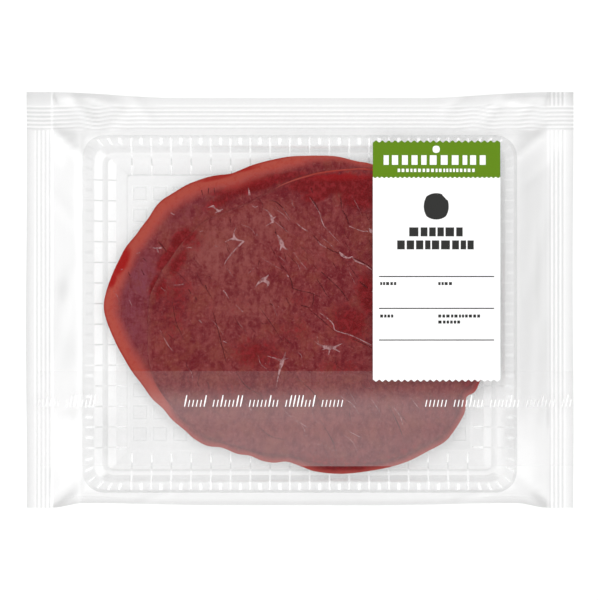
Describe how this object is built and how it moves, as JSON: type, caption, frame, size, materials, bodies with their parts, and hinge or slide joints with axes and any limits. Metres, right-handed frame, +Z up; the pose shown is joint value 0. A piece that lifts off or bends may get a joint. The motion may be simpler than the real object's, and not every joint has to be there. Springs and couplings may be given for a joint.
{
  "type": "meat tray pack",
  "caption": "Clear film pack round a stepped shallow tray of thin sliced smoked beef, with crimped ends and back, a translucent reseal strip and a pinked paper label.",
  "frame": {"origin": "centre of the pack's outline, on the surface it rests on", "axes": "+X along the pack's long side, +Y towards the crimped back seal, +Z up"},
  "size_m": [0.2084, 0.1582, 0.0184],
  "materials": {
    "film": "thin clear glossy film",
    "tray_plastic": "thin clear glossy moulded sheet",
    "smoked_beef": "moist dark red cured meat with pale marbling and a lighter rim",
    "reseal_tape": "translucent whitish strip",
    "label_paper": "smooth white coated paper",
    "label_header": "green printed coated paper"
  },
  "bodies": {
    "root": {"bag_lower": "film", "bag_upper": "film", "tray": "tray_plastic", "lower_slices": "smoked_beef", "upper_slice": "smoked_beef", "reseal_strip": "reseal_tape", "label": "label_paper", "label_header": "label_header"}
  },
  "joints": []
}
